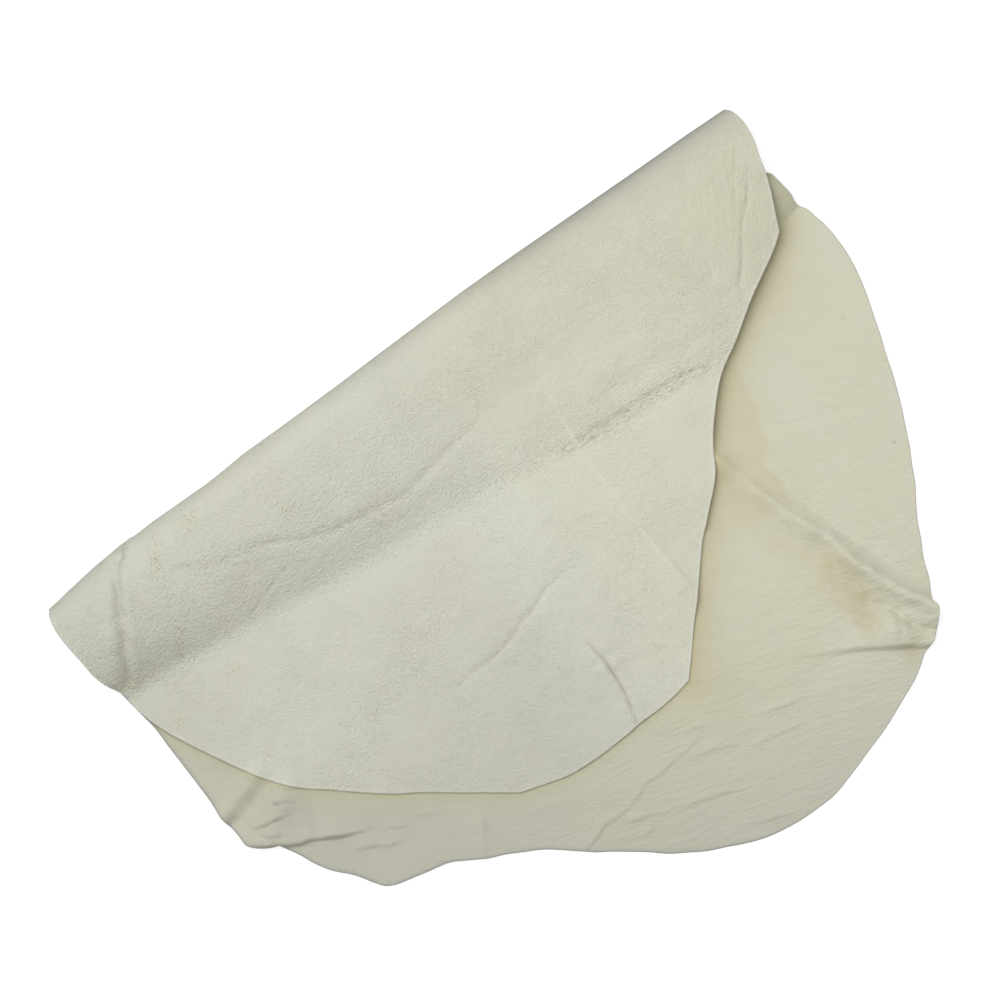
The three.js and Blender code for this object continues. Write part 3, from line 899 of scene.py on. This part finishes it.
def grain_leather():
    """The smooth, finely pebbled outside of the skin."""
    n = Nodes(bpy.data.materials.new("grain_side"))
    where = n.skin()
    tint = tints(GRAIN_CREAM)
    broad = n.noise(where, 11, 4, 0.55)
    patch = n.noise(n.wander(where, 30, 0.02), 42, 5, 0.6)
    cool = n.noise(where, 75, 4, 0.6)
    fine = n.noise(where, 1300, 3, 0.6)
    color = n.mix(n.steps(broad, 0.36, 0.66), GRAIN_CREAM, tint(0.975, 0.965, 0.94))
    color = n.mix(n.steps(patch, 0.5, 0.75, 0, 0.5), color, tint(1.0, 0.975, 0.93))
    color = n.mix(n.steps(cool, 0.5, 0.72, 0, 0.5), color, tint(0.95, 0.955, 0.98))
    color = n.mix(n.steps(fine, 0.3, 0.7, 0.42, 0), color, tint(0.62, 0.61, 0.56))
    color = n.mix(n.mark("warm"), color, WARM_CAST, "MULTIPLY")
    color = n.marked(color, "pale", 0.5, tint(1.1, 1.1, 1.1))
    # Painted highlight along the rim of the skin
    color = n.marked(color, "rim", 0.5, tint(1.08, 1.09, 1.14))
    small_pores = n.dots(n.stretched(where, 0.4, 1.3), 190, 0.2, 0.07)
    pores = n.math("MAXIMUM", n.dots(where, 85, 0.3, 0.05), small_pores)
    color = n.mix(n.times(pores, 0.3), color, PORE)
    # Painted shade where the light falls off
    color = n.mix(n.mark("falloff_shade"), color, FALLOFF_SHADE_CAST, "MULTIPLY")
    # Painted shade in the creases
    color = n.marked(color, "crease_shade", 0.6, DIRT_AND_CREASE_SHADE)
    specks = n.math("MAXIMUM", n.dots(where, 620, 0.6, 0.32), n.dots(where, 410, 0.35, 0.3))
    freckle = n.times(n.mark("freckle"), specks, clamp=True)
    color = n.marked(color, "freckle", 0.12, FRECKLE_CAST)
    color = n.mix(n.times(freckle, 0.8), color, FRECKLE)
    # Painted shade along the front of the roll
    color = n.marked(color, "roll_front_shade", 0.9, ROLL_FRONT_SHADE_GREY)
    wrinkles = n.creases(n.noise(n.stretched(n.wander(where, 90, 0.006), 0.7, 1.8), 420, 3, 0.55))
    wrinkles = n.math("MINIMUM", wrinkles, 0.06)
    wrinkled = n.steps(n.noise(where, 34, 3, 0.6), 0.36, 0.62, 0.25, 0.75)
    wrinkled = n.times(wrinkled, n.math("SUBTRACT", 1.0, n.mark("veined")), clamp=True)
    color = n.mix(n.times(n.steps(wrinkles, 0.03, 0, 0, 0.03), wrinkled), color, WRINKLE)
    veins = n.creases(n.noise(n.stretched(n.wander(where, 60, 0.006), -0.934, 13), 230, 3, 0.55))
    color = n.mix(n.times(n.steps(veins, 0.035, 0, 0, 0.22), n.mark("veined")), color, VEIN)
    along = n.stretched(n.wander(where, 600, 0.0006), -0.24, 1.45)
    cells = n.add("TexVoronoi", {"Vector": along, "Scale": 820, "Smoothness": 0.3}, feature="SMOOTH_F1")
    grains = n.times(n.noise(along, 1000, 2, 0.5), 0.6)
    pebbles = n.math("SUBTRACT", grains, cells.outputs["Distance"])
    crushed = n.creases(n.noise(n.stretched(n.wander(where, 200, 0.004), 0.13, 4), 560, 2, 0.5))
    soft = n.bump(n.noise(where, 95, 3, 0.5), 0.0011, 0.8)
    soft = n.bump(n.noise(where, 700, 3, 0.7), 0.0005, 0.7, soft)
    soft = n.bump(pebbles, 0.00042, n.mark("pebble"), soft)
    soft = n.bump(crushed, 0.0022, n.mark("crush"), soft)
    soft = n.bump(veins, 0.0005, n.mark("veined"), soft)
    soft = n.bump(wrinkles, 0.0027, wrinkled, soft)
    return n.finish(Base_Color=color, Roughness=0.72, Specular_IOR_Level=0.22, Normal=soft)


def flesh_leather():
    """The napped inside of the skin, yellower, with streaks and brown stains."""
    n = Nodes(bpy.data.materials.new("flesh_side"))
    where = n.skin()
    tint = tints(FLESH_CREAM)
    broad = n.noise(where, 12, 4, 0.55)
    streaks = n.noise(n.stretched(n.wander(where, 40, 0.01), -0.55, 5), 130, 4, 0.6)
    cool = n.noise(where, 60, 5, 0.6)
    fine = n.noise(n.stretched(where, -0.55, 2.2), 1000, 3, 0.6)
    color = n.mix(n.steps(broad, 0.36, 0.66), FLESH_CREAM, tint(0.98, 0.965, 0.91))
    color = n.mix(n.steps(streaks, 0.42, 0.72, 0, 0.35), color, tint(0.97, 0.95, 0.86))
    color = n.mix(n.steps(cool, 0.5, 0.74, 0, 0.6), color, tint(0.97, 0.975, 1.02))
    color = n.mix(n.steps(fine, 0.25, 0.75, 0.12, 0), color, tint(0.66, 0.64, 0.56))
    # Painted shade where the light falls off, and at the leaf's right end by the flap's tip
    color = n.marked(color, "falloff_shade", 0.9, tint(0.755, 0.76, 0.765))
    # Painted shadow beside the flap's edges, yellow-brown like the leaf's fuzzy stain there
    color = n.marked(color, "edge_shade_and_fuzz", 0.8, EDGE_SHADE_AND_FUZZ)
    # Painted shade along the leaf's lower left edge, and real dark dots
    color = n.marked(color, "edge_shade_and_dots", 0.5, EDGE_SHADE_AND_DOT_GREY)
    folds = n.creases(n.noise(n.stretched(n.wander(where, 40, 0.006), -0.29, 9), 170, 4, 0.6))
    folds = n.math("MINIMUM", folds, 0.12)
    streak = n.times(n.steps(folds, 0.05, 0, 0, 0.1), n.mark("streaked"))
    color = n.mix(streak, color, tint(0.8, 0.77, 0.68))
    blotch = n.steps(n.noise(where, 140, 4, 0.65), 0.25, 0.7, 0.5, 1.0)
    stain = n.times(n.times(n.mark("stain"), 0.42), blotch, clamp=True)
    # Real stain, and painted shade on the cross fold's lower left flank
    color = n.mix(stain, color, STAIN_AND_FLANK_SHADE)
    brown = n.times(n.times(n.mark("brown"), 0.55), blotch, clamp=True)
    color = n.mix(brown, color, BROWN)
    color = n.mix(n.times(n.dots(where, 60, 0.2, 0.04), 0.3), color, DIRT_AND_CREASE_SHADE)
    nap = n.noise(n.stretched(where, -0.55, 2.5), 620, 5, 0.65)
    lines = n.creases(n.noise(n.stretched(n.wander(where, 70, 0.008), -0.6, 6), 300, 3, 0.55))
    soft = n.bump(n.noise(n.stretched(where, -0.5, 2.2), 85, 3, 0.5), 0.0012, 0.8)
    soft = n.bump(lines, 0.0013, n.mark("lined"), soft)
    soft = n.bump(folds, 0.0015, n.mark("streaked"), soft)
    soft = n.bump(nap, 0.0003, 0.5, soft)
    return n.finish(Base_Color=color, Roughness=0.9, Specular_IOR_Level=0.12, Normal=soft)


def cut_leather():
    """The fibres of the cut edge, painted pale where the edge is lit and dark where it is in shade."""
    n = Nodes(bpy.data.materials.new("cut_edge"))
    fibres = n.noise(n.skin(), 1500, 3, 0.6)
    pale = n.mix(n.steps(fibres, 0.3, 0.7), *LIT_FIBRES)
    dark = n.mix(n.steps(fibres, 0.3, 0.7), *SHADED_FIBRES)
    # Cut edge painted pale where it is lit and dark where it is in shade
    color = n.mix(n.mark("rim"), dark, pale)
    return n.finish(Base_Color=color, Roughness=0.95, Specular_IOR_Level=0.1,
                    Normal=n.bump(fibres, 0.0003, 0.4))


SKIN_MATERIALS = [grain_leather(), flesh_leather(), cut_leather()]
GRAIN, FLESH, CUT = range(3)

# Pieces, from the lower leaf's margin over the roll to the flap: the name, the slot, and the two bodies that
# the piece spans, or the one that it rides on. It replaces the solid of the last of them.
PIECES = [
    ("leather_margin", "flesh_side", "lower_leaf", "lower_margin"),
    ("leather_leaf", "flesh_side", "lower_leaf", None),
    ("leather_roll_root", "grain_side", "lower_leaf", "fold_lower_strip"),
    ("leather_roll_lower", "grain_side", "fold_lower_strip", "fold_middle_strip"),
    ("leather_roll_upper", "grain_side", "fold_middle_strip", "fold_upper_strip"),
    ("leather_flap_root", "grain_side", "fold_upper_strip", "flap_inner_panel"),
    ("leather_flap", "grain_side", "flap_inner_panel", "flap_outer_panel"),
]

# Shares of the outward and the upward direction in the shading of the cut edge's upper bevel
BEVEL_OUT = 0.6
BEVEL_UP = 0.8


def sides(triangle):
    return zip(triangle, triangle[1:] + triangle[:1])


edge_count = Counter((min(side), max(side)) for triangle in triangles.tolist() for side in sides(triangle))


def on_free_edge(a, b):
    """Whether a side of a triangle lies on the skin's own edge, and not on a seam."""
    return edge_count[min(a, b), max(a, b)] == 1


def rim_of(local):
    """Sides of a piece's triangles that no other of its triangles has."""
    directed = dict.fromkeys(side for triangle in local.tolist() for side in sides(triangle))
    return [(a, b) for a, b in directed if (b, a) not in directed]


def edge_ring(rim, used):
    """Corners of a piece on the skin's own edge, and the way out of the leather at each."""
    outward = {}
    for a, b in rim:
        if on_free_edge(used[a], used[b]):
            out = np.cross(middle[used[b]] - middle[used[a]], normal[used[a]])
            out /= max(np.linalg.norm(out), 1e-9)
            for k in (a, b):
                outward[k] = outward.get(k, 0) + out
    ring = sorted(outward)
    out = np.array([outward[k] for k in ring])
    return ring, out / np.linalg.norm(out, axis=1)[:, None]


def build_piece(index, name):
    """Object of one piece, with a grain side, a flesh side and walls between them, and its triangles."""
    own = triangles[piece_of == index]
    used, local = np.unique(own, return_inverse=True)
    local = local.reshape(-1, 3)
    count = len(used)
    rim = rim_of(local)
    ring, out = edge_ring(rim, used)
    ring_at = {k: 2 * count + i for i, k in enumerate(ring)}
    rows = np.concatenate([used, used, used[ring]])
    places = np.vstack([grain_side[used], flesh_side[used], middle[used[ring]] + out * EDGE_ROUND]) * MM
    normals = np.vstack([grain_normal[used], flesh_normal[used], out])
    faces = local.tolist() + (local[:, ::-1] + count).tolist()
    kinds = [GRAIN] * len(local) + [FLESH] * len(local)
    bevel = []
    for a, b in rim:
        if on_free_edge(used[a], used[b]):
            bevel.append(len(faces))
            faces.append([b, a, ring_at[a], ring_at[b]])
            faces.append([ring_at[b], ring_at[a], a + count, b + count])
            kinds += [CUT, CUT]
        else:
            faces.append([b, a, a + count, b + count])
            kinds.append(FLESH)
    mesh = bpy.data.meshes.new(name)
    mesh.from_pydata(places.tolist(), [], faces)
    for material in SKIN_MATERIALS:
        mesh.materials.append(material)
    mesh.polygons.foreach_set("material_index", kinds)
    corners = np.zeros(len(mesh.loops), np.int32)
    mesh.loops.foreach_get("vertex_index", corners)
    layer = mesh.uv_layers.new(name="skin")
    layer.data.foreach_set("uv", (flat[rows] * MM)[corners].astype(np.float32).ravel())
    for mark, values in MARKS.items():
        attribute = mesh.attributes.new(mark, "FLOAT", "POINT")
        attribute.data.foreach_set("value", values[rows].astype(np.float32))
    corner_normal = normals[corners]
    for face in bevel:
        first = mesh.polygons[face].loop_start
        for k in range(first, first + 4):
            vertex = corners[k]
            if vertex >= 2 * count:
                corner_normal[k] = BEVEL_OUT * normals[vertex] + BEVEL_UP * grain_normal[rows[vertex]]
    mesh.shade_smooth()
    mesh.normals_split_custom_set(corner_normal.tolist())
    mesh.update()
    piece = bpy.data.objects.new(name, mesh)
    scene.collection.objects.link(piece)
    return piece, own


def flat_size(own):
    """Flat size and area of a piece, along its folded surface, because leather hardly stretches."""
    corners = flat[np.unique(own)]
    size = (corners.max(0) - corners.min(0)) * MM
    a, b, c = (flat[own][:, k] for k in range(3))
    drawn = np.abs(cross(b - a, c - a)).sum() / 2 * MM * MM
    a, b, c = (middle[own][:, k] for k in range(3))
    area = float(np.linalg.norm(np.cross(b - a, c - a), axis=1).sum() / 2 * MM * MM)
    size[1] *= area / drawn
    return size, area


for index, (name, slot, first, second) in enumerate(PIECES):
    piece, own = build_piece(index, name)
    nodes = [second or first]
    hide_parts(*nodes)
    size, area = flat_size(own)
    if second:
        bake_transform(piece)
    else:
        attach(piece, first)

# Floor, just under the part, since the opened skin dips a little below the table plane
WHITE = (1, 1, 1, 1)
FLOOR_GREY = (0.45, 0.45, 0.45, 1)
FLOOR_GLOW = 0.75
FLOOR_GAP = 0.0009
FLOOR_REACH = 6.0


def build_floor():
    """A plain floor that looks white and still takes soft shadows."""
    mesh = bpy.data.meshes.new("floor")
    corners = [(FLOOR_REACH * sx, FLOOR_REACH * sy, 0) for sx, sy in ((-1, -1), (1, -1), (1, 1), (-1, 1))]
    mesh.from_pydata(corners, [], [(0, 1, 2, 3)])
    floor = bpy.data.objects.new("floor", mesh)
    floor.location.z = -FLOOR_GAP
    scene.collection.objects.link(floor)
    n = Nodes(bpy.data.materials.new("floor"))
    glow = n.times(n.looked_at(), FLOOR_GLOW)
    mesh.materials.append(n.finish(Base_Color=FLOOR_GREY, Roughness=1, Specular_IOR_Level=0,
                                   Emission_Color=WHITE, Emission_Strength=glow))


build_floor()

# Camera straight above, turned as the photograph is, with its place along the fold and in depth from it
PIXEL = 0.593671 * MM
PICTURE = 1001
TURN = math.radians(36.5025)
CAMERA_ALONG = 257.61
CAMERA_DEPTH = 107.55
CAMERA_HEIGHT = 5.0
SENSOR = 36
right = Vector((math.cos(TURN), -math.sin(TURN), 0))
up = Vector((math.sin(TURN), math.cos(TURN), 0))
camera = bpy.data.objects.new("camera", bpy.data.cameras.new("camera"))
camera.location = (CAMERA_ALONG * MM + LEFT_END * MM, FOLD_FRONT * MM - CAMERA_DEPTH * MM, CAMERA_HEIGHT)
camera.rotation_euler = (0, 0, -TURN)
camera.data.sensor_width = SENSOR
camera.data.lens = SENSOR * CAMERA_HEIGHT / (PICTURE * PIXEL)
scene.collection.objects.link(camera)
scene.camera = camera

# Soft light all round, which looks white, and two lamps aimed at the part, the larger one from the left
AMBIENT = 0.32
world = bpy.data.worlds.new("world")
scene.world = world
n = Nodes(world, "Background")
strength = n.add("MapRange", {"Value": n.looked_at(), "To Min": AMBIENT, "To Max": 1.0})
n.finish(Color=WHITE, Strength=strength.outputs[0])
above = Vector((0, 0, 1))
LAMPS = [
    ("key", (up * 0.3 - right * 0.59 + above * 1.0) * 3.6, 3.9, 81),
    ("top", up * 0.25 - right * 0.03 + above * 0.8, 1.0, 3.7),
]
for name, place, size, power in LAMPS:
    lamp = bpy.data.objects.new(name, bpy.data.lights.new(name, "AREA"))
    lamp.data.shape = "SQUARE"
    lamp.data.size = size
    lamp.data.energy = power
    lamp.location = place
    lamp.rotation_euler = (-place).to_track_quat("-Z", "Y").to_euler()
    lamp.visible_camera = False
    scene.collection.objects.link(lamp)

scene.view_settings.view_transform = "Standard"
